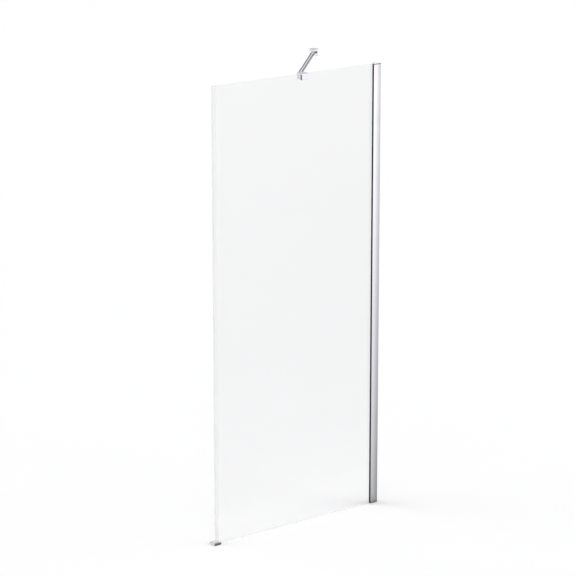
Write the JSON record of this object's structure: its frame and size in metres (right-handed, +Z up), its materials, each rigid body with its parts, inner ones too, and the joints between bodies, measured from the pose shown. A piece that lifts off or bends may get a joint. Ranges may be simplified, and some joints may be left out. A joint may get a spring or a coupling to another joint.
{
  "type": "fixed shower screen",
  "caption": "Frameless fixed shower screen: clear glass in a bright wall profile, a small foot at the free lower corner and a square arm from a clamp on the top edge to a wall bracket",
  "frame": {"origin": "on the wall's face at floor level, in the middle plane of the glass", "axes": "+X into the wall, +Y to the side the arm leaves on, +Z up"},
  "size_m": [0.904, 0.4657, 2.004],
  "materials": {
    "bright_profile": "bright polished and anodised",
    "satin_profile": "satin anodised",
    "bright_trim": "bright plated plastic",
    "chromed_metal": "polished chrome plate",
    "steel": "bright stainless steel",
    "dark_steel": "darkened steel",
    "clear_glass": "clear toughened glass with polished edges",
    "dark_rubber": "smooth dark rubber",
    "clear_seal": "translucent soft plastic",
    "dark_plastic": "dark plastic",
    "white_plastic": "pale plastic"
  },
  "bodies": {
    "wall_profile": {"wall_channel": "bright_profile", "channel_cover": "bright_profile", "front_gasket": "dark_rubber", "top_cap": "bright_trim", "bottom_pad": "white_plastic"},
    "screen": {"glass_panel": "clear_glass", "sliding_profile": "satin_profile", "glazing_strip": "dark_rubber", "lock_screws": "steel", "edge_seal": "clear_seal", "bottom_strip": "clear_seal", "foot_block": "chromed_metal", "foot_liner": "dark_plastic", "foot_set_screw": "dark_steel", "clamp_body": "chromed_metal", "clamp_insert": "white_plastic", "clamp_pad": "dark_rubber", "clamp_plate": "steel", "clamp_set_screws": "dark_steel", "clamp_pivot_screw": "steel"},
    "arm": {"arm_tube": "chromed_metal", "arm_clamp_end": "chromed_metal", "arm_wall_end": "chromed_metal", "arm_set_screws": "dark_steel", "clamp_washers": "white_plastic", "bracket_washers": "white_plastic"},
    "wall_bracket": {"bracket_body": "chromed_metal", "bracket_base": "steel", "bracket_pivot_screw": "steel", "bracket_set_screw": "dark_steel"}
  },
  "joints": [
    {"name": "width_adjust", "type": "slide", "parent": "wall_profile", "child": "screen", "axis": [1, 0, 0], "range_m": [-0.005, 0.005]},
    {"name": "arm_swing", "type": "hinge", "parent": "screen", "child": "arm", "pos_m": [-0.417, 0.026, 1.988], "axis": [0, 0, 1], "range_deg": [-40, 130]},
    {"name": "bracket_swivel", "type": "hinge", "parent": "arm", "child": "wall_bracket", "pos_m": [-0.0145, 0.43416, 1.988], "axis": [0, 0, 1], "range_deg": [-40, 130]}
  ]
}
